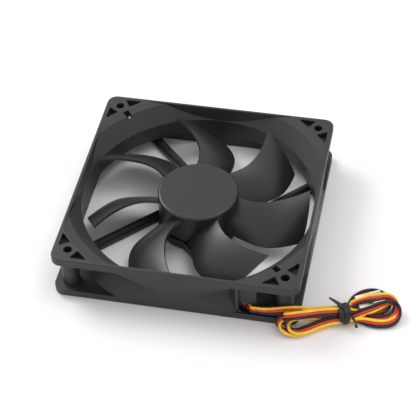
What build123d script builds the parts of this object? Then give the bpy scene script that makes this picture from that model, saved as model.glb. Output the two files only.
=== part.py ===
from build123d import *
import os
from math import cos, radians, sin, sqrt, tan

# A 120 mm case fan, in millimetres. The origin is on the rotor axis at the exhaust
# face, +Z points to the intake face, +X runs along the side that the lead leaves from.

# Frame
SIZE = 120.0
DEPTH = 25.0
FLANGE = 4.0
CORNER_R = 5.0
EDGE_R = 0.5
HOLE_PITCH = 105.0
HOLE_R = 2.15
POST_R = 4.3
THROAT_R = 58.4
THROAT_LOW = 8.0
THROAT_HIGH = 17.0
FLARE_R = 65.4
FLARE_HIGH = 24.4
LIP_R = 70.0
EXHAUST_R = 66.5
INNER_FLAT = 58.5
WAIST_R = 60.4
WAIST_HALF = 1.5
SHOULDER_R = 66.2
POCKET_DEPTH = 3.0
SLOT_WIDTH = 3.2
SLOT_INNER_R = 64.5
SLOT_OUTER_R = 69.0

# Struts and motor base
STRUT_OFFSET = 14.0
STRUT_WIDTH = 5.0
STRUT_LOW = 0.6
STRUT_FLOOR = 2.6
STRUT_TOP = 5.0
STRUT_RIB = 1.8
STRUT_END_R = 66.0
CHANNEL_WIDTH = 4.6
CHANNEL_WALL = 0.8
CHANNEL_FLOOR = 1.7
CHANNEL_TOP = 6.0
BRIDGE_LOW = 4.2
BRIDGE_MIDDLE = 21.0
BRIDGE_LENGTH = 8.0
WAY_OUT_TOP = 8.5
WAY_OUT_LEFT = 31.2
WAY_OUT_RIGHT = 39.6
WAY_OUT_FRONT = -58.8
WAY_OUT_BACK = -54.2
HOOD_FRONT = -57.0
HOOD_BACK = -49.0
BASE_R = 20.75
BASE_WALL = 1.4
BASE_LOW = 0.5
BASE_RIM_TOP = 5.2
TUBE_R = 4.3
TUBE_BORE_R = 3.0
TUBE_TOP = 17.0

# Rotor
HUB_R = 20.1
HUB_WALL = 1.9
HUB_LOW = 6.0
HUB_TOP = 22.15
HUB_EDGE_R = 1.4
BLADES = 7
BLADE_THICK = 1.3
LEADING_TIP_DEG = -41.0
YOKE_WALL = 0.8
YOKE_LOW = 7.6
MAGNET_WALL = 1.9
MAGNET_LOW = 8.2
MAGNET_HIGH = 16.0
SHAFT_R = 1.5
RUNNING_GAP = 0.03
BOSS_R = 3.5

# Motor
CORE_R = 15.1
CORE_LOW = 8.2
CORE_HIGH = 13.7
POLE_WIDTH = 4.0
POLES = 4
INSULATION = 0.5
BOARD_R = 18.0
BOARD_LOW = 4.2
BOARD_THICK = 1.0

# Three-wire lead
WIRE_R = 0.675
WIRE_PITCH = 1.45
WIRES = {"yellow": 1, "red": 0, "black": -1}

os.makedirs("parts", exist_ok=True)


def finish(part, name):
    """Label a finished piece and write it to its own file."""
    part.label = name
    export_step(part, f"parts/{name}.step")
    print(name, f"{part.volume:.1f} mm3")


# ---------------------------------------------------------------- frame moulding

# The closed space inside the duct: a throat with a flare at each end, flattened
# where the side walls are.
with BuildPart() as air_passage:
    with BuildSketch(Plane.XZ):
        with BuildLine():
            Polyline(
                (0, -1),
                (EXHAUST_R, -1),
                (EXHAUST_R, 0),
                (THROAT_R, THROAT_LOW),
                (THROAT_R, THROAT_HIGH),
                (FLARE_R, FLARE_HIGH),
                (LIP_R, DEPTH),
                (LIP_R, DEPTH + 1),
                (0, DEPTH + 1),
                close=True,
            )
        make_face()
    revolve(axis=Axis.Z)
    with BuildSketch(Plane.XY.offset(-1)):
        Rectangle(2 * INNER_FLAT, 2 * INNER_FLAT)
    extrude(amount=DEPTH + 2, mode=Mode.INTERSECT)

# The open spaces between the flanges at the four corners, around the screw posts.
with BuildPart() as corner_spaces:
    with BuildSketch(Plane.XY.offset(FLANGE)):
        Rectangle(SIZE + 2, SIZE + 2)
    extrude(amount=DEPTH - 2 * FLANGE)
    with BuildSketch(Plane.XZ):
        with BuildLine():
            Polyline(
                (0, FLANGE),
                (SHOULDER_R, FLANGE),
                (WAIST_R, DEPTH / 2 - WAIST_HALF),
                (WAIST_R, DEPTH / 2 + WAIST_HALF),
                (SHOULDER_R, DEPTH - FLANGE),
                (0, DEPTH - FLANGE),
                close=True,
            )
        make_face()
    revolve(axis=Axis.Z, mode=Mode.SUBTRACT)
    with BuildSketch(Plane.XY.offset(FLANGE)):
        with GridLocations(HOLE_PITCH, HOLE_PITCH, 2, 2):
            Circle(POST_R)
    extrude(amount=DEPTH - 2 * FLANGE, mode=Mode.SUBTRACT)


def strut_plane(turn):
    """A plane on the exhaust face whose X axis runs outward along one strut."""
    outward = Vector(1, 0, 0).rotate(Axis.Z, turn)
    nearest = Vector(0, -STRUT_OFFSET, 0).rotate(Axis.Z, turn)
    return Plane(origin=nearest, x_dir=outward, z_dir=(0, 0, 1))


STRUT_START = sqrt((BASE_R - 3 * BASE_WALL) ** 2 - STRUT_OFFSET**2)
STRUT_END = sqrt(STRUT_END_R**2 - STRUT_OFFSET**2)
STRUT_LENGTH = STRUT_END - STRUT_START
STRUT_MIDDLE = (STRUT_START + STRUT_END) / 2
LEAD_TURN = -45.0
PLAIN_TURNS = (45.0, 135.0, 225.0)


def pocket_outline():
    """One of the two triangular pockets beside a screw hole, in the +X +Y corner."""
    Polyline((57.6, 50.6), (57.8, 41.6), (52.4, 47.6), close=True)


with BuildPart() as frame:
    with BuildSketch():
        RectangleRounded(SIZE, SIZE, CORNER_R)
    extrude(amount=DEPTH)
    fillet(frame.faces().filter_by(Axis.Z).edges(), EDGE_R)
    add(corner_spaces.part, mode=Mode.SUBTRACT)

    # Beside the lead's way out, on the front side: a pillar that blends into the wall,
    # and a hood over the way out itself.
    with BuildSketch(Plane.XY.offset(FLANGE)):
        with BuildLine():
            Polyline(
                (WAY_OUT_LEFT, WAY_OUT_FRONT),
                (WAY_OUT_LEFT - 1.4, WAY_OUT_FRONT),
                (WAY_OUT_LEFT - 7.0, HOOD_BACK - 3.0),
                (WAY_OUT_LEFT - 7.0, HOOD_BACK),
                (WAY_OUT_LEFT, HOOD_BACK),
                close=True,
            )
        make_face()
    extrude(amount=DEPTH - 2 * FLANGE)
    with BuildSketch(Plane.XY.offset(WAY_OUT_TOP)):
        with BuildLine():
            Polyline(
                (WAY_OUT_LEFT, HOOD_FRONT),
                (WAY_OUT_LEFT, HOOD_BACK),
                (WAY_OUT_RIGHT, HOOD_BACK),
                (WAY_OUT_RIGHT, HOOD_FRONT),
                close=True,
            )
        make_face()
    extrude(amount=DEPTH - FLANGE - WAY_OUT_TOP)
    add(air_passage.part, mode=Mode.SUBTRACT)

    # Three ribbed struts and a wider one for the wires.
    for turn in PLAIN_TURNS:
        with BuildSketch(strut_plane(turn).offset(STRUT_LOW)):
            with Locations((STRUT_MIDDLE, 0)):
                Rectangle(STRUT_LENGTH, STRUT_WIDTH)
        extrude(amount=STRUT_FLOOR - STRUT_LOW)
        with BuildSketch(strut_plane(turn).offset(STRUT_FLOOR)):
            with Locations((STRUT_MIDDLE, 0)):
                Rectangle(STRUT_LENGTH, STRUT_RIB + 1.2)
        extrude(amount=STRUT_TOP - STRUT_FLOOR, taper=14)
    with BuildSketch(strut_plane(LEAD_TURN).offset(STRUT_LOW)):
        with Locations((STRUT_MIDDLE, 0)):
            Rectangle(STRUT_LENGTH, CHANNEL_WIDTH + 2 * CHANNEL_WALL)
    extrude(amount=STRUT_TOP - STRUT_LOW)

    # Motor base: a shallow cup with the bearing tube and a seat for the board.
    with BuildSketch(Plane.XY.offset(BASE_LOW)):
        Circle(BASE_R)
    extrude(amount=BASE_RIM_TOP - BASE_LOW)
    with BuildSketch(Plane.XY.offset(CHANNEL_FLOOR)):
        Circle(BASE_R - BASE_WALL)
    extrude(amount=BASE_RIM_TOP, mode=Mode.SUBTRACT)
    with BuildSketch(Plane.XY.offset(CHANNEL_FLOOR)):
        Circle(TUBE_R + 1.9)
    extrude(amount=BOARD_LOW - CHANNEL_FLOOR)
    with BuildSketch(Plane.XY.offset(CHANNEL_FLOOR)):
        Circle(TUBE_R)
    extrude(amount=TUBE_TOP - CHANNEL_FLOOR)
    with BuildSketch(Plane.XY):
        Circle(TUBE_BORE_R)
    extrude(amount=DEPTH, mode=Mode.SUBTRACT)

    # The wires' channel, from the cup's rim to the duct wall, and their way out of it.
    with BuildSketch(strut_plane(LEAD_TURN).offset(CHANNEL_FLOOR)):
        with Locations((STRUT_MIDDLE + 2, 0)):
            Rectangle(STRUT_LENGTH + 4, CHANNEL_WIDTH)
    extrude(amount=CHANNEL_TOP - CHANNEL_FLOOR, mode=Mode.SUBTRACT)
    with BuildSketch(Plane.XY.offset(CHANNEL_FLOOR)):
        with Locations(((WAY_OUT_LEFT + WAY_OUT_RIGHT) / 2, (WAY_OUT_FRONT + WAY_OUT_BACK) / 2)):
            Rectangle(WAY_OUT_RIGHT - WAY_OUT_LEFT, WAY_OUT_BACK - WAY_OUT_FRONT)
    extrude(amount=WAY_OUT_TOP - CHANNEL_FLOOR, mode=Mode.SUBTRACT)

    # A bridge over the channel beside the motor base, which keeps the wires in it.
    with BuildSketch(strut_plane(LEAD_TURN).offset(BRIDGE_LOW)):
        with Locations((BRIDGE_MIDDLE, 0)):
            Rectangle(BRIDGE_LENGTH, CHANNEL_WIDTH + CHANNEL_WALL)
    extrude(amount=STRUT_TOP - BRIDGE_LOW)

    # Screw holes through both flanges and the posts.
    with BuildSketch():
        with GridLocations(HOLE_PITCH, HOLE_PITCH, 2, 2):
            Circle(HOLE_R)
    extrude(amount=DEPTH, mode=Mode.SUBTRACT)

    # Triangular pockets beside the holes, on both faces.
    for low in (0.0, DEPTH - POCKET_DEPTH):
        with BuildSketch(Plane.XY.offset(low)):
            with BuildSketch(mode=Mode.PRIVATE) as pocket:
                with BuildLine():
                    pocket_outline()
                make_face()
                fillet(pocket.vertices(), 0.5)
                mirror(about=Plane(origin=(0, 0, 0), z_dir=(1, -1, 0)))
            with PolarLocations(0, 4):
                add(pocket.sketch)
        extrude(amount=POCKET_DEPTH, mode=Mode.SUBTRACT)

    # A slot through the flare at each end of one diagonal.
    with BuildSketch(Plane.XY.offset(FLANGE)):
        for corner in (-45.0, 135.0):
            with PolarLocations((SLOT_INNER_R + SLOT_OUTER_R) / 2, 1, start_angle=corner):
                Rectangle(SLOT_OUTER_R - SLOT_INNER_R, SLOT_WIDTH)
    extrude(amount=DEPTH, mode=Mode.SUBTRACT)

finish(frame.part, "frame")


# ---------------------------------------------------------------- impeller

# Blade stations from the hub to the tip: radius, then the leading edge's angle
# behind its own tip and its height, then the same for the trailing edge.
STATIONS = (
    (18.6, -6.5, 19.8, -51.0, 8.6),
    (24.0, -12.0, 20.3, -46.5, 8.4),
    (31.0, -13.2, 20.6, -43.0, 8.0),
    (39.0, -10.0, 20.8, -39.5, 7.6),
    (47.5, -5.0, 21.1, -31.5, 7.0),
    (55.5, 0.0, 21.3, -22.5, 6.4),
)
CHORD_STEPS = 6
ENTRY_SLOPE = 0.62


def blade_row(radius, lead_deg, lead_z, trail_deg, trail_z):
    """Points along one station, steeper towards the trailing edge."""
    row = []
    for step in range(CHORD_STEPS + 1):
        s = step / CHORD_STEPS
        angle = radians(lead_deg + (trail_deg - lead_deg) * s)
        drop = ENTRY_SLOPE * s + (1 - ENTRY_SLOPE) * s * s
        z = lead_z + (trail_z - lead_z) * drop
        row.append(Vector(radius * cos(angle), radius * sin(angle), z))
    return row


blade_face = Face.make_surface_from_array_of_points([blade_row(*s) for s in STATIONS])

with BuildPart() as blade:
    thicken(blade_face, amount=BLADE_THICK / 2, both=True)

with BuildPart() as impeller:
    with BuildSketch(Plane.XY.offset(HUB_LOW)):
        Circle(HUB_R)
    extrude(amount=HUB_TOP - HUB_LOW)
    fillet(impeller.faces().sort_by(Axis.Z)[-1].edges(), HUB_EDGE_R)
    with BuildSketch(Plane.XY.offset(HUB_TOP)):
        Circle(0.7)
    extrude(amount=0.15)
    with PolarLocations(0, BLADES, start_angle=LEADING_TIP_DEG):
        add(blade.part)
    with BuildSketch(Plane.XY.offset(HUB_LOW)):
        Circle(HUB_R - HUB_WALL)
    extrude(amount=HUB_TOP - HUB_WALL - HUB_LOW, mode=Mode.SUBTRACT)

finish(impeller.part, "impeller")

YOKE_R = HUB_R - HUB_WALL
YOKE_TOP = HUB_TOP - HUB_WALL

with BuildPart() as rotor_yoke:
    with BuildSketch(Plane.XY.offset(YOKE_LOW)):
        Circle(YOKE_R)
    extrude(amount=YOKE_TOP - YOKE_LOW)
    fillet(rotor_yoke.faces().sort_by(Axis.Z)[-1].edges(), 0.8)
    with BuildSketch(Plane.XY.offset(YOKE_LOW)):
        Circle(YOKE_R - YOKE_WALL)
    extrude(amount=YOKE_TOP - YOKE_WALL - YOKE_LOW, mode=Mode.SUBTRACT)
    with BuildSketch(Plane.XY.offset(YOKE_LOW)):
        Circle(BOSS_R)
    extrude(amount=YOKE_TOP, mode=Mode.SUBTRACT)

finish(rotor_yoke.part, "rotor_yoke")

MAGNET_R = YOKE_R - YOKE_WALL

with BuildPart() as rotor_magnet:
    with BuildSketch(Plane.XY.offset(MAGNET_LOW)):
        Circle(MAGNET_R)
        Circle(MAGNET_R - MAGNET_WALL, mode=Mode.SUBTRACT)
    extrude(amount=MAGNET_HIGH - MAGNET_LOW)
    chamfer(rotor_magnet.faces().filter_by(Axis.Z).edges(), 0.25)

finish(rotor_magnet.part, "rotor_magnet")

CLIP_Z = 2.9
CLIP_THICK = 0.4
GROOVE_R = 1.15
SHAFT_LOW = 2.2

with BuildPart() as shaft:
    with BuildSketch(Plane.XY.offset(SHAFT_LOW)):
        Circle(SHAFT_R)
    extrude(amount=YOKE_TOP - SHAFT_LOW)
    fillet(shaft.faces().sort_by(Axis.Z)[0].edges(), 0.5)
    with BuildSketch(Plane.XY.offset(CLIP_Z)):
        Circle(SHAFT_R + 0.2)
        Circle(GROOVE_R, mode=Mode.SUBTRACT)
    extrude(amount=CLIP_THICK, mode=Mode.SUBTRACT)

finish(shaft.part, "shaft")

with BuildPart() as shaft_boss:
    with BuildSketch(Plane.XY.offset(TUBE_TOP + 0.5)):
        Circle(BOSS_R)
    extrude(amount=YOKE_TOP - TUBE_TOP - 0.5)
    chamfer(shaft_boss.faces().sort_by(Axis.Z)[0].edges(), 0.4)
    with BuildSketch(Plane.XY.offset(TUBE_TOP)):
        Circle(SHAFT_R)
    extrude(amount=YOKE_TOP, mode=Mode.SUBTRACT)

finish(shaft_boss.part, "shaft_boss")

with BuildPart() as retaining_clip:
    with BuildSketch(Plane.XY.offset(CLIP_Z)):
        Circle(2.5)
        Circle(GROOVE_R, mode=Mode.SUBTRACT)
        with Locations((0, 1.8)):
            Rectangle(1.5, 2.2, mode=Mode.SUBTRACT)
    extrude(amount=CLIP_THICK)

finish(retaining_clip.part, "retaining_clip")


# ---------------------------------------------------------------- bearing

SLEEVE_LOW = 3.7
SLEEVE_HIGH = 14.6

with BuildPart() as bearing_sleeve:
    with BuildSketch(Plane.XY.offset(SLEEVE_LOW)):
        Circle(TUBE_BORE_R)
    extrude(amount=SLEEVE_HIGH - SLEEVE_LOW)
    chamfer(bearing_sleeve.faces().filter_by(Axis.Z).edges(), 0.3)
    with BuildSketch(Plane.XY.offset(SLEEVE_LOW)):
        Circle(SHAFT_R + RUNNING_GAP)
    extrude(amount=SLEEVE_HIGH - SLEEVE_LOW, mode=Mode.SUBTRACT)

finish(bearing_sleeve.part, "bearing_sleeve")

with BuildPart() as oil_seal_washer:
    with BuildSketch(Plane.XY.offset(SLEEVE_HIGH)):
        Circle(TUBE_BORE_R)
        Circle(SHAFT_R + 0.1, mode=Mode.SUBTRACT)
    extrude(amount=0.6)

finish(oil_seal_washer.part, "oil_seal_washer")

with BuildPart() as bearing_plug:
    with BuildSketch(Plane.XY.offset(BASE_LOW)):
        Circle(TUBE_BORE_R)
    extrude(amount=1.0)
    with BuildSketch(Plane.XY.offset(BASE_LOW + 1.0)):
        Circle(TUBE_BORE_R - 0.3)
    extrude(amount=0.2)

finish(bearing_plug.part, "bearing_plug")

with BuildPart() as thrust_pad:
    with BuildSketch(Plane.XY.offset(BASE_LOW + 1.2)):
        Circle(TUBE_BORE_R - 0.2)
    extrude(amount=0.4)
    chamfer(thrust_pad.faces().sort_by(Axis.Z)[-1].edges(), 0.1)

finish(thrust_pad.part, "thrust_pad")


# ---------------------------------------------------------------- stator

SHOE_INNER_R = 13.5
SHOE_ARC = 72.0


def pole_profile(ring_r, width, shoe_inner, shoe_outer, shoe_arc):
    """A ring with four pole necks and curved shoes, for the current sketch."""
    Circle(ring_r)
    with PolarLocations((shoe_inner + shoe_outer) / 4, POLES):
        Rectangle((shoe_inner + shoe_outer) / 2, width)
    half = shoe_arc / 2
    with BuildSketch(mode=Mode.PRIVATE) as shoe:
        with BuildLine():
            CenterArc((0, 0), shoe_outer, -half, shoe_arc)
            CenterArc((0, 0), shoe_inner, -half, shoe_arc)
            for side in (-half, half):
                Line(
                    Vector(shoe_inner, 0).rotate(Axis.Z, side),
                    Vector(shoe_outer, 0).rotate(Axis.Z, side),
                )
        make_face()
    with PolarLocations(0, POLES):
        add(shoe.sketch)
    Circle(TUBE_R, mode=Mode.SUBTRACT)


with BuildPart() as stator_core:
    with BuildSketch(Plane.XY.offset(CORE_LOW)):
        pole_profile(6.8, POLE_WIDTH, SHOE_INNER_R, CORE_R, SHOE_ARC)
    extrude(amount=CORE_HIGH - CORE_LOW)

finish(stator_core.part, "stator_core")

CORE_MIDDLE = (CORE_LOW + CORE_HIGH) / 2


def insulator(low, high):
    """Half of the winding former: an end plate with skirts along the pole necks."""
    with BuildPart() as former:
        with BuildSketch(Plane.XY.offset(low)):
            pole_profile(7.6, POLE_WIDTH + 2 * INSULATION, SHOE_INNER_R - 0.6, CORE_R - 0.3, SHOE_ARC)
        extrude(amount=high - low)
        add(stator_core.part, mode=Mode.SUBTRACT)
    return former.part


insulator_upper = insulator(CORE_MIDDLE, CORE_HIGH + INSULATION)
insulator_lower = insulator(CORE_LOW - INSULATION, CORE_MIDDLE)
finish(insulator_upper, "insulator_upper")
finish(insulator_lower, "insulator_lower")

COIL_INNER_R = 7.8
COIL_OUTER_R = 12.0
COIL_SIDE = 2.0
COIL_TOP = 1.1

with BuildPart() as coils:
    for pole in range(POLES):
        outward = Vector(1, 0, 0).rotate(Axis.Z, pole * 90.0)
        across = Vector(0, 1, 0).rotate(Axis.Z, pole * 90.0)
        start = outward * COIL_INNER_R + Vector(0, 0, CORE_MIDDLE)
        with BuildSketch(Plane(origin=start, x_dir=across, z_dir=outward)):
            neck_width = POLE_WIDTH + 2 * INSULATION
            neck_height = CORE_HIGH - CORE_LOW + 2 * INSULATION
            RectangleRounded(neck_width + 2 * COIL_SIDE, neck_height + 2 * COIL_TOP, 1.0)
            Rectangle(neck_width, neck_height, mode=Mode.SUBTRACT)
        extrude(amount=COIL_OUTER_R - COIL_INNER_R)

finish(coils.part, "coils")


# ---------------------------------------------------------------- circuit board

BOARD_TOP = BOARD_LOW + BOARD_THICK
PIN_RING_R = 7.0

with BuildPart() as circuit_board:
    with BuildSketch(Plane.XY.offset(BOARD_LOW)):
        Circle(BOARD_R)
        Circle(TUBE_R + 0.2, mode=Mode.SUBTRACT)
        with PolarLocations(PIN_RING_R, 3, start_angle=45, angular_range=270):
            Circle(0.35, mode=Mode.SUBTRACT)
        with Locations((0, BOARD_R)):
            Rectangle(4, 2.4, mode=Mode.SUBTRACT)
    extrude(amount=BOARD_THICK)

finish(circuit_board.part, "circuit_board")

with BuildPart() as winding_pins:
    with BuildSketch(Plane.XY.offset(BOARD_LOW - 0.8)):
        with PolarLocations(PIN_RING_R, 3, start_angle=45, angular_range=270):
            Circle(0.3)
    extrude(amount=CORE_LOW - INSULATION - BOARD_LOW + 0.8)

finish(winding_pins.part, "winding_pins")


def chip(x, y, turn, length, width, height):
    """A small moulded package standing on the board."""
    with BuildPart() as package:
        with BuildSketch(Plane(origin=(x, y, BOARD_TOP), x_dir=Vector(1, 0, 0).rotate(Axis.Z, turn))):
            Rectangle(length, width)
        extrude(amount=height)
        chamfer(package.faces().sort_by(Axis.Z)[-1].edges(), 0.2)
    return package.part


hall_sensor = chip(11.3, 11.3, -45.0, 4.0, 2.6, 1.5)
driver_chip = chip(-9.8, 9.8, 45.0, 5.0, 4.0, 1.3)
finish(hall_sensor, "hall_sensor")
finish(driver_chip, "driver_chip")

with BuildPart() as board_components:
    with BuildSketch(Plane.XY.offset(BOARD_TOP)):
        with Locations((12.6, -7.2), (12.6, -11.0), (7.6, -14.6)):
            Rectangle(2.0, 1.25)
    extrude(amount=0.6)
    with BuildSketch(Plane.XY.offset(BOARD_TOP)):
        with Locations((-14.4, -6.6)):
            Rectangle(3.2, 1.6)
    extrude(amount=1.1)

finish(board_components.part, "board_components")

with BuildPart() as rear_label:
    with BuildSketch(Plane.XY.offset(BASE_LOW)):
        Circle(BASE_R - 2.0)
    extrude(amount=-0.12)

finish(rear_label.part, "rear_label")


# ---------------------------------------------------------------- wires

def arc_radii(points):
    """The largest even arc for each corner: 0.45 of its shorter run over tan(half turn)."""
    radii = []
    for before, corner, after in zip(points, points[1:], points[2:]):
        run_in = corner - before
        run_out = after - corner
        half_turn = radians(run_in.get_angle(run_out) / 2)
        radii.append(0.45 * min(run_in.length, run_out.length) / tan(half_turn))
    return radii


def tube(points, name):
    """A round wire along straight runs and tangent arcs, checked against its length."""
    radii = arc_radii(points)
    with BuildPart() as wire:
        with BuildLine() as route:
            FilletPolyline(*points, radius=radii)
        line = route.wire()
        with BuildSketch(Plane(origin=line @ 0, z_dir=line % 0)) as section:
            Circle(WIRE_R)
        sweep(section.sketch, path=line)
    expected = section.sketch.area * line.length
    print(name, "radii", [round(r, 1) for r in radii], f"length {line.length:.1f}",
          f"volume ratio {wire.part.volume / expected:.4f}")
    return wire.part


def ribbon(middle, turns, lateral, spread):
    """Routes of the three wires side by side: turn 0 lies flat, 90 stands on edge."""
    routes = {colour: [] for colour in WIRES}
    for point, turn, side, apart in zip(middle, turns, lateral, spread):
        across = side * cos(radians(turn)) + Vector(0, 0, sin(radians(turn)))
        for colour, place in WIRES.items():
            routes[colour].append(point + across * WIRE_PITCH * place * apart)
    return routes


SOLDER_T = 7.0
JOINT_LOW = 3.4
SOLDER_SPREAD = 1.35


def on_lead_strut(along, height):
    """A point over the wired strut's middle line, this far out from its nearest point."""
    return strut_plane(LEAD_TURN).from_local_coords(Vector(along, 0, height))


ACROSS_STRUT = Vector(1, 1, 0).normalized()
ACROSS_LEAD = Vector(0.1, 0.99, 0)
EXIT = Vector(40.0, -58.9, 6.9)
EXIT_RUN = Vector(0.98, -0.1, 0.17)

inner_middle = [
    on_lead_strut(SOLDER_T, JOINT_LOW),
    on_lead_strut(SOLDER_T + 0.01, 2.7),
    on_lead_strut(12.0, 2.5),
    on_lead_strut(56.0, 2.6),
    Vector(33.6, -53.4, 2.8),
    Vector(35.4, -55.9, 4.3),
    EXIT - EXIT_RUN * 2.6,
    EXIT,
]
inner_routes = ribbon(
    inner_middle,
    turns=(0, 0, 0, 0, 15, 48, 90, 90),
    lateral=[ACROSS_STRUT] * 5 + [Vector(0.5, 0.87, 0)] + [ACROSS_LEAD] * 2,
    spread=[SOLDER_SPREAD] * 2 + [1.0, 1.0, 1.08, 1.18, 1.0, 1.0],
)

for colour, points in inner_routes.items():
    finish(tube(points, f"strut wire {colour}"), f"strut_wire_{colour}")

with BuildPart() as solder_joints:
    for points in inner_routes.values():
        end = points[0]
        with BuildSketch(Plane(origin=(end.X, end.Y, JOINT_LOW))):
            Circle(WIRE_R)
        extrude(amount=BOARD_LOW - JOINT_LOW, taper=-18)

finish(solder_joints.part, "solder_joints")

# The free lead rises a little over the lower flange and comes down to the tied hank.
lead_middle = [
    EXIT,
    EXIT + EXIT_RUN * 7.0,
    Vector(54.6, -58.9, 9.5),
    Vector(63.0, -56.2, 8.4),
    Vector(70.6, -53.2, 6.3),
    Vector(77.4, -51.0, 4.3),
]
lead_routes = ribbon(
    lead_middle,
    turns=(90, 90, 90, 90, 80, 70),
    lateral=[ACROSS_LEAD] * 3 + [Vector(-0.35, 0.94, 0)] * 3,
    spread=[1.0] * 6,
)
for colour, points in lead_routes.items():
    finish(tube(points, f"lead {colour}"), f"lead_{colour}")


# ---------------------------------------------------------------- hank, tie, connector

TIE_AT = Vector(80.5, -50.0, 0)
TIE_TURN = 16.0
TIE_WIDTH = 3.2
TIE_THICK = 0.6
NECK_R = 3.5
NECK_HALF = 2.2
NECK_HEIGHT = 5.5
LEFT_HEIGHT = 5.4
RIGHT_HEIGHT = 7.8
LEFT_END = (56.6, -64.6)
LEFT_END_R = 3.4
RIGHT_END = (97.2, -44.8)
RIGHT_END_R = 10.6
CONNECTOR_AT = Vector(91.7, -42.0, 0.2)
CONNECTOR_TURN = 28.0
CONNECTOR_LENGTH = 12.7
CONNECTOR_WIDTH = 7.9
CONNECTOR_HEIGHT = 5.8
PIN_PITCH = 2.54

along_neck = Vector(1, 0, 0).rotate(Axis.Z, TIE_TURN)
neck_left = TIE_AT - along_neck * NECK_HALF
neck_right = TIE_AT + along_neck * NECK_HALF
tie_plane = Plane(origin=TIE_AT, x_dir=Vector(0, 1, 0).rotate(Axis.Z, TIE_TURN), z_dir=along_neck)
connector_plane = Plane(origin=CONNECTOR_AT, x_dir=Vector(1, 0, 0).rotate(Axis.Z, CONNECTOR_TURN))


def lobe_outline(neck, end, end_r):
    """One end of the hank in the current sketch, from the neck to its widest turn."""
    with Locations((neck.X, neck.Y)):
        Circle(NECK_R)
    with Locations(end):
        Circle(end_r)
    make_hull()


with BuildPart() as lead_hank:
    with BuildSketch():
        lobe_outline(neck_left, LEFT_END, LEFT_END_R)
    extrude(amount=LEFT_HEIGHT)
    with BuildSketch():
        lobe_outline(neck_right, RIGHT_END, RIGHT_END_R)
    extrude(amount=RIGHT_HEIGHT)
    fillet(lead_hank.faces().filter_by(Plane.XY).filter_by(lambda f: f.center().Z > 1).edges()
           .filter_by(lambda e: e.length > 2), 0.8)
    with BuildSketch(tie_plane.offset(-TIE_WIDTH / 2 - 0.1)):
        Rectangle(12 * NECK_R, 6 * NECK_R)
    extrude(amount=TIE_WIDTH + 0.2, mode=Mode.SUBTRACT)
    with BuildSketch(tie_plane.offset(-NECK_HALF)):
        with Locations((0, TIE_THICK + NECK_HEIGHT / 2)):
            RectangleRounded(2 * NECK_R, NECK_HEIGHT, 2.0)
    extrude(amount=2 * NECK_HALF)
    with BuildSketch(connector_plane):
        Rectangle(CONNECTOR_LENGTH + 0.6, CONNECTOR_WIDTH + 0.6)
    extrude(amount=RIGHT_HEIGHT, mode=Mode.SUBTRACT)

finish(lead_hank.part, "lead_hank")

with BuildPart() as twist_tie:
    with BuildSketch(tie_plane.offset(-TIE_WIDTH / 2)):
        with Locations((0, TIE_THICK + NECK_HEIGHT / 2)):
            RectangleRounded(2 * (NECK_R + TIE_THICK), NECK_HEIGHT + 2 * TIE_THICK, 2.0 + TIE_THICK)
            RectangleRounded(2 * NECK_R, NECK_HEIGHT, 2.0, mode=Mode.SUBTRACT)
    extrude(amount=TIE_WIDTH)
    tail_start = TIE_AT + Vector(-1.0, 0.6, NECK_HEIGHT + 1.6 * TIE_THICK)
    with BuildSketch(Plane(origin=tail_start, x_dir=(0, 0, 1), z_dir=(-5.2, 2.0, 1.0))):
        RectangleRounded(1.1, 2.0, 0.5)
    extrude(amount=6.0)

finish(twist_tie.part, "twist_tie")

with BuildPart() as connector_housing:
    with BuildSketch(connector_plane):
        Rectangle(CONNECTOR_LENGTH, CONNECTOR_WIDTH)
    extrude(amount=CONNECTOR_HEIGHT)
    chamfer(connector_housing.edges().filter_by(Axis.Z), 0.3)
    # Three through cavities, one for each terminal, and a latch window over each.
    with BuildSketch(Plane(origin=connector_plane.origin, x_dir=connector_plane.y_dir,
                           z_dir=connector_plane.x_dir).offset(-CONNECTOR_LENGTH / 2)):
        with Locations((0, CONNECTOR_HEIGHT / 2)):
            with GridLocations(PIN_PITCH, 1, 3, 1):
                Rectangle(2.0, 2.2)
    extrude(amount=CONNECTOR_LENGTH, mode=Mode.SUBTRACT)
    with BuildSketch(connector_plane.offset(CONNECTOR_HEIGHT / 2)):
        with Locations((-0.6, 0)):
            with GridLocations(1, PIN_PITCH, 1, 3):
                Rectangle(2.6, 1.3)
    extrude(amount=CONNECTOR_HEIGHT, mode=Mode.SUBTRACT)
    with BuildSketch(connector_plane.offset(CONNECTOR_HEIGHT)):
        with Locations((3.4, -3.0), (3.4, 3.0)):
            Rectangle(5.6, 0.9)
    extrude(amount=0.8)

finish(connector_housing.part, "connector_housing")

with BuildPart() as connector_terminals:
    with BuildSketch(Plane(origin=connector_plane.origin, x_dir=connector_plane.y_dir,
                           z_dir=connector_plane.x_dir).offset(-CONNECTOR_LENGTH / 2 + 0.4)):
        with Locations((0, CONNECTOR_HEIGHT / 2)):
            with GridLocations(PIN_PITCH, 1, 3, 1):
                Rectangle(1.8, 2.0)
                Rectangle(1.2, 1.4, mode=Mode.SUBTRACT)
    extrude(amount=CONNECTOR_LENGTH - 1.6)

finish(connector_terminals.part, "connector_terminals")
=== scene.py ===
import math

import bmesh
import bpy
from mathutils import Matrix, Vector


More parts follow.
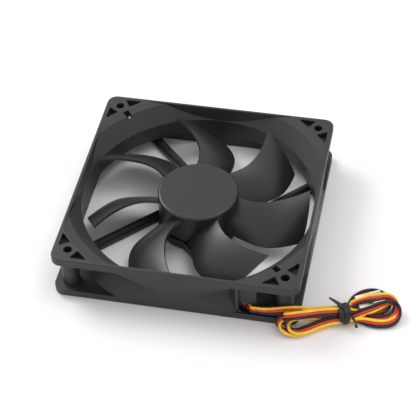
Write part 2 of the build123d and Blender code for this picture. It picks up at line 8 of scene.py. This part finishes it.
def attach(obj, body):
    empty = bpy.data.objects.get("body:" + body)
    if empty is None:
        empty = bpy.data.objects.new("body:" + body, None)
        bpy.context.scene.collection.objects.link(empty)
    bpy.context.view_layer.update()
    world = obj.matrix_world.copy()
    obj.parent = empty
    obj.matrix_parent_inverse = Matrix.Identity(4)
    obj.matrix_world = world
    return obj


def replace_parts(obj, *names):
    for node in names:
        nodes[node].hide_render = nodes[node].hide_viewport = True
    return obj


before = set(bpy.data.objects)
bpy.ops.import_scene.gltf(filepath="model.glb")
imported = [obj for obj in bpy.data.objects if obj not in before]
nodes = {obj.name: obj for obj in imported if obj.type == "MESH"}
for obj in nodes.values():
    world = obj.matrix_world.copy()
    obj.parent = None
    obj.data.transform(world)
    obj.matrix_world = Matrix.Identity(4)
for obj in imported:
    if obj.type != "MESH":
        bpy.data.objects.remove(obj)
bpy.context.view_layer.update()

# Lengths are written in millimetres and turned into metres with this.
MM = 0.001


# ---------------------------------------------------------------- materials

class Shader:
    """A Principled material with short helpers for the nodes that feed it."""

    def __init__(self, name, roughness, **settings):
        self.material = bpy.data.materials.new(name)
        self.material.use_nodes = True
        self.tree = self.material.node_tree
        self.principled = self.tree.nodes["Principled BSDF"]
        self.principled.inputs["Roughness"].default_value = roughness
        for socket, value in settings.items():
            self.principled.inputs[socket.replace("_", " ")].default_value = value
        self.position = self.node("ShaderNodeTexCoord").outputs["Object"]

    def node(self, kind, **settings):
        """A new node with these properties set."""
        made = self.tree.nodes.new(kind)
        for key, value in settings.items():
            setattr(made, key, value)
        return made

    def link(self, source, target):
        self.tree.links.new(source, target)

    def noise(self, size_mm, detail=3.0, stretch=(1, 1, 1)):
        """Noise with features of about this size, from 0 to 1 around 0.5."""
        mapping = self.node("ShaderNodeMapping")
        mapping.inputs["Scale"].default_value = stretch
        self.link(self.position, mapping.inputs["Vector"])
        made = self.node("ShaderNodeTexNoise")
        made.inputs["Scale"].default_value = 1 / (size_mm * MM)
        made.inputs["Detail"].default_value = detail
        self.link(mapping.outputs["Vector"], made.inputs["Vector"])
        return made.outputs["Fac"]

    def scaled(self, source, low, high, from_low=0.3, from_high=0.7):
        """The source moved from one range to another, and clamped."""
        made = self.node("ShaderNodeMapRange")
        made.inputs["From Min"].default_value = from_low
        made.inputs["From Max"].default_value = from_high
        made.inputs["To Min"].default_value = low
        made.inputs["To Max"].default_value = high
        self.link(source, made.inputs["Value"])
        return made.outputs["Result"]

    def mix(self, factor, first, second):
        """A colour between two colours or colour outputs."""
        made = self.node("ShaderNodeMix", data_type="RGBA")
        self.link(factor, made.inputs["Factor"])
        colour_inputs = [s for s in made.inputs if s.type == "RGBA"]
        for socket, value in zip(colour_inputs, (first, second)):
            if isinstance(value, tuple):
                socket.default_value = (*value, 1)
            else:
                self.link(value, socket)
        return next(s for s in made.outputs if s.type == "RGBA")

    def edges(self, radius_mm):
        """1 on edges rounder than this radius, 0 on flat stretches."""
        bevel = self.node("ShaderNodeBevel", samples=4)
        bevel.inputs["Radius"].default_value = radius_mm * MM
        geometry = self.node("ShaderNodeNewGeometry")
        dot = self.node("ShaderNodeVectorMath", operation="DOT_PRODUCT")
        self.link(bevel.outputs["Normal"], dot.inputs[0])
        self.link(geometry.outputs["Normal"], dot.inputs[1])
        return self.scaled(dot.outputs["Value"], 1.0, 0.0, 0.8, 0.985)

    def bump(self, height, strength, distance_mm):
        made = self.node("ShaderNodeBump")
        made.inputs["Strength"].default_value = strength
        made.inputs["Distance"].default_value = distance_mm * MM
        self.link(height, made.inputs["Height"])
        self.link(made.outputs["Normal"], self.principled.inputs["Normal"])

    def colour(self, source):
        self.link(source, self.principled.inputs["Base Color"])

    def roughness(self, source):
        self.link(source, self.principled.inputs["Roughness"])


def shades(colour, darker, lighter):
    """The colour made darker and lighter by these factors."""
    return tuple(c * darker for c in colour), tuple(c * lighter for c in colour)


def moulded_plastic(name, colour, roughness, grain_mm=0.5, grain=0.25, edge_wear_and_highlight=0.35):
    """Matte moulded plastic: fine spark-eroded grain, faint cloudiness, edges painted lighter as wear and
    as a painted highlight.
    """
    s = Shader(name, roughness)
    dark, light = shades(colour, 0.93, 1.07)
    cloudy = s.mix(s.scaled(s.noise(14.0), 0.0, 1.0), dark, light)
    # Edges painted lighter: partly wear, partly a painted highlight where light catches the rounded edges.
    worn_and_highlit_edges = tuple(min(1.0, c * (1 + 2.2 * edge_wear_and_highlight) + 0.01 * edge_wear_and_highlight) for c in colour)
    s.colour(s.mix(s.scaled(s.edges(0.35), 0.0, edge_wear_and_highlight, 0.0, 1.0), cloudy, worn_and_highlit_edges))
    s.roughness(s.scaled(s.noise(5.0), roughness - 0.015, roughness + 0.015))
    s.bump(s.noise(grain_mm, detail=2.0), grain, 0.04)
    return s.material


def metal(name, colour, roughness, brushed=(1, 1, 8), grain_mm=0.6):
    """Bare metal with fine lines along the direction that it was worked in."""
    s = Shader(name, roughness, Metallic=1.0)
    dark, light = shades(colour, 0.78, 1.12)
    s.colour(s.mix(s.scaled(s.noise(grain_mm * 4, stretch=brushed), 0.0, 1.0), dark, light))
    s.roughness(s.scaled(s.noise(3.0), roughness - 0.07, roughness + 0.1))
    s.bump(s.noise(grain_mm, stretch=brushed), 0.2, 0.02)
    return s.material


def winding(name, colour):
    """Enamelled wire laid in turns: fine ridges that run round the pole, with painted shade in the grooves
    between turns and the ridge tops painted lighter.
    """
    s = Shader(name, 0.28, Metallic=0.85, Coat_Weight=0.6, Coat_Roughness=0.15)
    dark, light = shades(colour, 0.55, 1.1)
    wave = s.node("ShaderNodeTexWave", bands_direction="Z")
    wave.inputs["Scale"].default_value = 900.0
    s.link(s.position, wave.inputs["Vector"])
    # Painted shade: the colour follows the bump's wave, dark in the grooves between turns and lighter on
    # the ridges.
    s.colour(s.mix(wave.outputs["Fac"], dark, light))
    s.bump(wave.outputs["Fac"], 0.8, 0.08)
    return s.material


def insulated_wire(name, colour, roughness=0.36, coat=0.2):
    """Soft glossy wire cover with slight scuffs and flow lines."""
    s = Shader(name, roughness, Coat_Weight=coat, Coat_Roughness=0.2)
    dark, light = shades(colour, 0.84, 1.08)
    s.colour(s.mix(s.scaled(s.noise(3.0), 0.0, 1.0), dark, light))
    s.roughness(s.scaled(s.noise(1.2), roughness - 0.06, roughness + 0.12))
    s.bump(s.noise(0.6), 0.12, 0.03)
    return s.material


def circuit_board_laminate(name, colour):
    """Solder-masked glass laminate with the weave faintly showing."""
    s = Shader(name, 0.3, Coat_Weight=0.4, Coat_Roughness=0.12)
    dark, light = shades(colour, 0.7, 1.2)
    checker = s.node("ShaderNodeTexChecker")
    checker.inputs["Scale"].default_value = 1800.0
    s.link(s.position, checker.inputs["Vector"])
    s.colour(s.mix(s.scaled(s.noise(2.0), 0.0, 1.0), dark, light))
    s.bump(checker.outputs["Fac"], 0.15, 0.02)
    return s.material


def paper_label(name, colour):
    """A blank matt sticker with paper fibre and slight mottling."""
    s = Shader(name, 0.55)
    dark, light = shades(colour, 0.92, 1.03)
    s.colour(s.mix(s.scaled(s.noise(4.0), 0.0, 1.0), dark, light))
    s.bump(s.noise(0.3), 0.2, 0.02)
    return s.material


FRAME_BLACK = (0.021, 0.021, 0.024)
ROTOR_BLACK = (0.023, 0.0225, 0.026)

materials = {
    "frame_plastic": moulded_plastic("frame_plastic", FRAME_BLACK, 0.46),
    "impeller_plastic": moulded_plastic("impeller_plastic", ROTOR_BLACK, 0.34, grain=0.12, edge_wear_and_highlight=0.25),
    "label": paper_label("label", (0.62, 0.63, 0.64)),
    "bronze": metal("bronze", (0.42, 0.27, 0.13), 0.42),
    "nylon": moulded_plastic("nylon", (0.70, 0.68, 0.60), 0.4),
    "bright_steel": metal("bright_steel", (0.62, 0.62, 0.63), 0.18),
    "pressed_steel": metal("pressed_steel", (0.50, 0.51, 0.52), 0.32),
    "magnet": moulded_plastic("magnet", (0.055, 0.050, 0.048), 0.62),
    "brass": metal("brass", (0.72, 0.53, 0.22), 0.26),
    "laminated_steel": metal("laminated_steel", (0.40, 0.41, 0.43), 0.38, brushed=(1, 1, 14), grain_mm=0.5),
    "former_plastic": moulded_plastic("former_plastic", (0.66, 0.63, 0.52), 0.42),
    "copper_wire": winding("copper_wire", (0.65, 0.26, 0.10)),
    "board": circuit_board_laminate("board", (0.03, 0.16, 0.07)),
    "chip": moulded_plastic("chip", (0.025, 0.025, 0.027), 0.5),
    "solder": metal("solder", (0.66, 0.67, 0.69), 0.24, brushed=(1, 1, 1)),
    "wire_yellow": insulated_wire("wire_yellow", (1.0, 0.60, 0.025)),
    "wire_red": insulated_wire("wire_red", (0.62, 0.045, 0.014)),
    "wire_black": insulated_wire("wire_black", (0.008, 0.007, 0.009), 0.42, coat=0.0),
    "tie_plastic": insulated_wire("tie_plastic", (0.008, 0.007, 0.009), 0.46, coat=0.0),
    "connector_plastic": moulded_plastic("connector_plastic", (0.80, 0.76, 0.64), 0.38, grain=0.1),
    "terminal": metal("terminal", (0.72, 0.68, 0.56), 0.25),
}

NODE_SLOTS = {
    "frame": "frame_plastic",
    "impeller": "impeller_plastic",
    "rotor_yoke": "pressed_steel",
    "rotor_magnet": "magnet",
    "shaft": "bright_steel",
    "shaft_boss": "brass",
    "retaining_clip": "nylon",
    "bearing_sleeve": "bronze",
    "oil_seal_washer": "nylon",
    "bearing_plug": "nylon",
    "thrust_pad": "nylon",
    "stator_core": "laminated_steel",
    "insulator_upper": "former_plastic",
    "insulator_lower": "former_plastic",
    "coils": "copper_wire",
    "circuit_board": "board",
    "winding_pins": "brass",
    "hall_sensor": "chip",
    "driver_chip": "chip",
    "board_components": "nylon",
    "solder_joints": "solder",
    "rear_label": "label",
    "strut_wire_yellow": "wire_yellow",
    "strut_wire_red": "wire_red",
    "strut_wire_black": "wire_black",
    "connector_housing": "connector_plastic",
    "connector_terminals": "terminal",
}

for node_name, slot_name in NODE_SLOTS.items():
    node_materials = nodes[node_name].data.materials
    for index in range(len(node_materials)):
        node_materials[index] = materials[slot_name]


# ---------------------------------------------------------------- swept pieces

def spline_points(route, resolution=6):
    """Points along one smooth NURBS spline with the route's points as its control points."""
    curve = bpy.data.curves.new("route", "CURVE")
    curve.dimensions = "3D"
    curve.resolution_u = resolution
    spline = curve.splines.new("NURBS")
    spline.points.add(len(route) - 1)
    for point, place in zip(spline.points, route):
        point.co = (*place, 1)
    spline.order_u = 3
    spline.use_endpoint_u = True
    holder = bpy.data.objects.new("route", curve)
    line = bpy.data.meshes.new_from_object(holder)
    points = [v.co.copy() for v in line.vertices]
    bpy.data.objects.remove(holder)
    bpy.data.curves.remove(curve)
    bpy.data.meshes.remove(line)
    return points


def directions(points):
    """The unit direction of the line at each of its points."""
    ahead = points[1:] + points[-1:]
    behind = points[:1] + points[:-1]
    return [(a - b).normalized() for a, b in zip(ahead, behind)]


def carried_sides(points, first):
    """A side vector at each point, turned as little as possible along the line."""
    side = Vector(first)
    sides = []
    for along in directions(points):
        side = (side - along * side.dot(along)).normalized()
        sides.append(side)
    return sides


def sweep(name, points, sides, outline, slot_name, closed=False):
    """A mesh of the outline carried along the points; outline is (side, up) pairs."""
    mesh = bpy.data.meshes.new(name)
    bm = bmesh.new()
    rings = []
    for point, along, side in zip(points, directions(points), sides):
        up = along.cross(side)
        rings.append([bm.verts.new(point + side * u + up * v) for u, v in outline])
    following = rings[1:] + rings[:1] if closed else rings[1:]
    count = len(outline)
    for ring, after in zip(rings, following):
        for k in range(count):
            m = (k + 1) % count
            bm.faces.new((ring[k], ring[m], after[m], after[k]))
    if not closed:
        bm.faces.new(reversed(rings[0]))
        bm.faces.new(rings[-1])
    bmesh.ops.recalc_face_normals(bm, faces=bm.faces)
    for face in bm.faces:
        face.smooth = len(face.verts) == 4
    bm.to_mesh(mesh)
    bm.free()
    mesh.materials.append(materials[slot_name])
    made = bpy.data.objects.new(name, mesh)
    bpy.context.scene.collection.objects.link(made)
    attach(made, "housing")
    return made


def circle(radius, count=14):
    """A round outline."""
    return [
        (radius * math.cos(2 * math.pi * k / count), radius * math.sin(2 * math.pi * k / count))
        for k in range(count)
    ]


# ---------------------------------------------------------------- the three-wire lead

WIRE_R = 0.675 * MM
WIRES = {"yellow": 1, "red": 0, "black": -1}

# Where the yellow wire lies from the red one, as seen from the front and above.
UP = Vector((0.0, 0.7, 0.7))
DOWN = -UP
NEAR = Vector((0.0, -0.7, 0.7))
FAR = -NEAR
RIGHT = Vector((1.0, 0.0, 0.0))
LEFT = -RIGHT
TALL = Vector((0.0, 0.0, 1.0))
LOW = -TALL
# Along the row of the connector's three cavities.
CAVITIES = Vector((-0.469, 0.883, 0.0))

# The red wire's route, in millimetres, and which way the flat ribbon of three wires
# faces there. The black wire is always opposite the yellow one.
ROUTE = (
    # out of the frame and along its front
    (40.0, -58.9, 6.9, TALL),
    (43.6, -59.3, 7.4, TALL),
    (48.0, -59.6, 8.3, TALL + UP),
    (54.6, -58.6, 9.4, UP),
    (61.5, -56.2, 7.9, UP),
    (68.5, -54.0, 6.1, UP),
    (74.5, -52.4, 4.4, UP),
    (79.7, -50.5, 3.6, UP),
    # round the right end, wide
    (84.0, -45.7, 5.6, UP + FAR),
    (89.0, -43.8, 7.2, FAR + UP),
    (94.0, -42.2, 7.8, UP),
    (98.8, -40.3, 7.3, UP),
    (102.4, -39.6, 6.0, UP + FAR),
    (104.8, -41.0, 4.4, FAR),
    (105.6, -44.4, 2.9, FAR + LEFT),
    (105.2, -48.4, 2.1, LEFT),
    (102.8, -51.6, 1.8, LEFT + UP),
    (98.6, -53.1, 1.8, UP),
    (93.9, -53.3, 1.9, UP),
    (89.0, -52.8, 2.4, UP + NEAR),
    (84.8, -53.3, 3.0, NEAR),
    (81.1, -54.4, 3.6, NEAR + DOWN * 2),
    # round the left end, in front
    (75.5, -56.3, 3.8, DOWN),
    (69.6, -59.6, 3.5, DOWN),
    (64.4, -63.6, 3.2, DOWN * 3 + NEAR),
    (60.8, -65.3, 2.8, DOWN + NEAR),
    (57.8, -65.4, 3.0, DOWN + NEAR * 3),
    (55.6, -64.2, 3.9, NEAR * 2 + RIGHT),
    (55.1, -61.9, 5.3, NEAR + RIGHT * 2),
    (56.8, -60.0, 6.2, RIGHT * 2 + DOWN),
    (60.4, -58.3, 6.3, DOWN * 3 + RIGHT),
    (65.4, -57.0, 5.5, DOWN),
    (71.8, -55.6, 4.3, DOWN),
    (77.0, -54.1, 3.6, DOWN),
    (80.9, -53.5, 2.8, DOWN),
    # round the right end, inside
    (84.9, -51.7, 3.2, DOWN),
    (89.3, -49.5, 4.3, DOWN),
    (93.6, -47.2, 5.0, DOWN),
    (97.0, -44.9, 5.5, DOWN * 3 + FAR),
    (99.7, -42.8, 5.7, DOWN + FAR),
    (102.3, -41.9, 5.2, DOWN + FAR * 3),
    (104.2, -43.0, 4.0, FAR * 2 + RIGHT),
    (104.3, -45.6, 3.0, FAR + RIGHT * 2),
    (102.7, -48.4, 2.5, RIGHT * 2 + DOWN),
    (99.6, -50.2, 2.4, DOWN * 2 + RIGHT),
    (96.6, -50.8, 2.4, DOWN),
    (93.0, -51.0, 2.4, DOWN),
    (88.6, -50.9, 2.3, DOWN),
    (84.4, -51.7, 2.1, DOWN),
    (80.6, -52.9, 2.0, DOWN),
    # round the left end, underneath
    (75.3, -55.2, 2.0, DOWN),
    (69.5, -59.0, 1.9, DOWN),
    (63.8, -63.2, 1.8, DOWN),
    (60.0, -65.4, 1.9, DOWN * 3 + NEAR),
    (56.8, -65.8, 2.1, DOWN + NEAR),
    (53.6, -65.4, 2.7, DOWN + NEAR * 3),
    (51.4, -64.0, 3.7, NEAR * 2 + RIGHT),
    (51.0, -62.2, 5.2, NEAR + RIGHT * 2),
    (53.0, -60.6, 6.6, RIGHT * 2 + DOWN),
    (57.2, -59.2, 6.9, DOWN * 3 + RIGHT),
    (64.0, -56.8, 6.0, DOWN),
    (71.0, -53.6, 5.2, DOWN),
    (76.4, -51.9, 5.0, DOWN),
    # round the connector
    (80.1, -50.5, 5.0, DOWN),
    (82.0, -47.2, 4.4, DOWN + LOW),
    (82.8, -42.4, 3.4, LOW),
    (84.2, -39.0, 2.5, LOW),
    (86.9, -35.8, 2.2, LOW),
    (90.8, -33.7, 2.15, LOW),
    (95.0, -33.5, 2.15, LOW),
    (98.6, -35.3, 2.15, LOW),
    (100.9, -38.6, 2.15, LOW),
    (100.9, -42.2, 2.1, LOW + LEFT),
    (98.0, -45.6, 1.9, UP + LOW + LEFT),
    (93.2, -47.8, 1.9, UP),
    (88.4, -49.2, 2.5, UP),
    (84.0, -50.4, 4.2, UP),
    (80.3, -51.5, 5.8, UP),
    # out to the left once more and folded back on itself
    (75.6, -52.3, 6.7, UP),
    (69.4, -54.0, 6.9, UP),
    (62.7, -56.7, 6.9, UP),
    (58.4, -58.4, 6.9, UP),
    (55.8, -59.2, 6.9, UP),
    (53.9, -60.7, 7.5, UP),
    (53.6, -62.9, 9.2, UP),
    (55.5, -64.0, 11.0, UP),
    (58.8, -63.1, 11.4, UP),
    (64.0, -60.5, 10.4, UP),
    (70.0, -57.0, 9.0, UP),
    (76.0, -54.3, 7.6, UP),
    # into the back of the connector
    (80.6, -52.3, 6.6, UP),
    (83.2, -48.6, 5.4, UP + CAVITIES),
    (85.0, -46.5, 3.8, CAVITIES),
    (86.6, -44.8, 3.1, CAVITIES),
    (88.4, -43.75, 3.1, CAVITIES),
)
# The wires lie side by side up to the last rows, where they part to reach their cavities.
RIBBON_PITCH = 1.4
CAVITY_PITCH = 2.54
SPREAD_ROWS = 3


def make_lead():
    """Three wires side by side along one route, which fan out into the connector."""
    middle = spline_points([Vector(row[:3]) * MM for row in ROUTE])
    facings = spline_points([row[3].normalized() for row in ROUTE])
    pitches = [RIBBON_PITCH] * (len(ROUTE) - SPREAD_ROWS) + [CAVITY_PITCH] * SPREAD_ROWS
    widths = spline_points([(pitch, 0, 0) for pitch in pitches])
    across = []
    for along, facing, width in zip(directions(middle), facings, widths):
        across.append((facing - along * facing.dot(along)).normalized() * width.x * MM)
    for colour, place in WIRES.items():
        path = [p + a * place for p, a in zip(middle, across)]
        sides = carried_sides(path, (0, 0, 1))
        cord = sweep(f"cord_{colour}", path, sides, circle(WIRE_R), f"wire_{colour}")
        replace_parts(cord, f"lead_{colour}", "lead_hank")


make_lead()


# ---------------------------------------------------------------- twist tie

TIE_AT = Vector((80.5, -52.0, 0)) * MM
TIE_TURN = math.radians(16.0)
TIE_HALF_WIDTH = 4.4 * MM
TIE_HALF_HEIGHT = 3.95 * MM
TIE_MIDDLE = 4.65 * MM
TIE_SQUARENESS = 0.7
TIE_STEPS = 48
ALONG_NECK = Vector((math.cos(TIE_TURN), math.sin(TIE_TURN), 0))
ACROSS_NECK = Vector((-math.sin(TIE_TURN), math.cos(TIE_TURN), 0))

# The tie's section: a thin ribbon with its wire core as a rib down the middle.
TIE_SECTION = [
    (u * MM, v * MM)
    for u, v in (
        (-1.35, -0.12), (-0.4, -0.14), (0.0, -0.2), (0.4, -0.14), (1.35, -0.12),
        (1.42, 0.0), (1.35, 0.12), (0.45, 0.16), (0.22, 0.34), (0.0, 0.4),
        (-0.22, 0.34), (-0.45, 0.16), (-1.35, 0.12), (-1.42, 0.0),
    )
]


def bulged(value, half):
    """A sine or cosine scaled to this half size and pushed out towards a rectangle."""
    return math.copysign(abs(value) ** TIE_SQUARENESS, value) * half


def tie_turn(name, slide, lean, grow):
    """One turn of the tie round the neck: slid along it, leaning, and a little bigger."""
    loop = []
    for k in range(TIE_STEPS):
        angle = 2 * math.pi * k / TIE_STEPS
        wide = bulged(math.cos(angle), TIE_HALF_WIDTH + grow)
        high = bulged(math.sin(angle), TIE_HALF_HEIGHT + grow)
        off = ALONG_NECK * (slide + lean * math.sin(angle))
        loop.append(TIE_AT + ACROSS_NECK * wide + Vector((0, 0, TIE_MIDDLE + high)) + off)
    band = sweep(name, loop, [ALONG_NECK] * TIE_STEPS, TIE_SECTION, "tie_plastic", closed=True)
    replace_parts(band, "twist_tie")


def tie_tail(name, points, turns, narrow):
    """One loose end of the tie, twisted by this many turns and narrowed by this factor."""
    path = spline_points([Vector(p) * MM for p in points], resolution=10)
    twisted = []
    for k, (side, along) in enumerate(zip(carried_sides(path, ALONG_NECK), directions(path))):
        turn = 2 * math.pi * turns * k / len(path)
        twisted.append(side * math.cos(turn) + along.cross(side) * math.sin(turn))
    outline = [(u * narrow, v) for u, v in TIE_SECTION]
    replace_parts(sweep(name, path, twisted, outline, "tie_plastic"), "twist_tie")


# The two loose ends of the tie, in millimetres.
FLAT_END = (
    (81.4, -52.4, 9.0),
    (79.6, -51.8, 9.5),
    (77.4, -50.8, 10.1),
    (75.0, -49.6, 10.6),
    (73.0, -48.8, 11.0),
)
THIN_END = (
    (82.0, -53.0, 9.0),
    (84.0, -54.2, 8.2),
    (85.6, -55.8, 6.2),
    (86.8, -56.8, 4.0),
    (87.4, -57.4, 2.0),
)


def make_tie():
    """Two turns round the hank's neck and the two loose ends."""
    tie_turn("tie_turn_left", slide=-0.9 * MM, lean=-0.5 * MM, grow=0.0)
    tie_turn("tie_turn_right", slide=0.9 * MM, lean=0.6 * MM, grow=0.25 * MM)
    tie_tail("tie_end_flat", FLAT_END, turns=0.15, narrow=0.8)
    tie_tail("tie_end_thin", THIN_END, turns=1.1, narrow=0.45)


make_tie()


# ---------------------------------------------------------------- camera

CAMERA_AZIMUTH = math.radians(12.917)
CAMERA_ELEVATION = math.radians(45.331)
CAMERA_ROLL = math.radians(-2.191)
CAMERA_DISTANCE = 723.9 * MM
CAMERA_TARGET = Vector((6.46, -2.96, 12.5)) * MM
CAMERA_LENS = 124.21
SENSOR_WIDTH = 36.0


def make_camera():
    """A camera that looks at the target from the given azimuth and elevation."""
    data = bpy.data.cameras.new("camera")
    data.lens = CAMERA_LENS
    data.sensor_width = SENSOR_WIDTH
    data.clip_start = 0.05
    camera = bpy.data.objects.new("camera", data)
    bpy.context.scene.collection.objects.link(camera)
    flat = math.cos(CAMERA_ELEVATION)
    back = Vector((
        math.sin(CAMERA_AZIMUTH) * flat,
        -math.cos(CAMERA_AZIMUTH) * flat,
        math.sin(CAMERA_ELEVATION),
    ))
    level = Vector((0, 0, 1)).cross(back).normalized()
    upright = back.cross(level)
    right = level * math.cos(CAMERA_ROLL) + upright * math.sin(CAMERA_ROLL)
    up = upright * math.cos(CAMERA_ROLL) - level * math.sin(CAMERA_ROLL)
    turn = Matrix((right, up, back)).transposed().to_4x4()
    camera.matrix_world = Matrix.Translation(CAMERA_TARGET + back * CAMERA_DISTANCE) @ turn
    bpy.context.scene.camera = camera


# ---------------------------------------------------------------- stage and light

FLOOR_HALF = 3.0
FLOOR_DROP = 0.2 * MM


def make_stage():
    """A plain pale floor under the fan."""
    mesh = bpy.data.meshes.new("floor")
    corners = [(x * FLOOR_HALF, y * FLOOR_HALF, 0) for x, y in ((-1, -1), (1, -1), (1, 1), (-1, 1))]
    mesh.from_pydata(corners, [], [(0, 1, 2, 3)])
    floor = bpy.data.objects.new("floor", mesh)
    floor.location.z = -FLOOR_DROP
    bpy.context.scene.collection.objects.link(floor)
    surface = Shader("floor", 0.75)
    surface.colour(surface.mix(surface.noise(60.0), (0.90, 0.885, 0.90), (0.93, 0.92, 0.93)))
    mesh.materials.append(surface.material)


SOFT_BOX_SIZE = 0.5
SKY_STRENGTH = 0.80


def make_light(name, location, power):
    """A square soft box that faces the fan's centre."""
    data = bpy.data.lights.new(name, "AREA")
    data.shape = "SQUARE"
    data.size = SOFT_BOX_SIZE
    data.energy = power
    light = bpy.data.objects.new(name, data)
    light.location = location
    light.rotation_euler = Vector(location).to_track_quat("Z", "Y").to_euler()
    bpy.context.scene.collection.objects.link(light)


def make_lights():
    """A bright light tent, one soft box behind to the left and a weak one overhead."""
    world = bpy.data.worlds.new("world")
    bpy.context.scene.world = world
    world.use_nodes = True
    background = world.node_tree.nodes["Background"]
    background.inputs["Color"].default_value = (1.0, 0.985, 1.0, 1)
    background.inputs["Strength"].default_value = SKY_STRENGTH
    make_light("back_left", (-0.72, 0.45, 0.75), 6.0)
    make_light("overhead", (0.35, 0.2, 1.0), 2.2)


make_camera()
make_stage()
make_lights()
bpy.context.scene.view_settings.view_transform = "Standard"
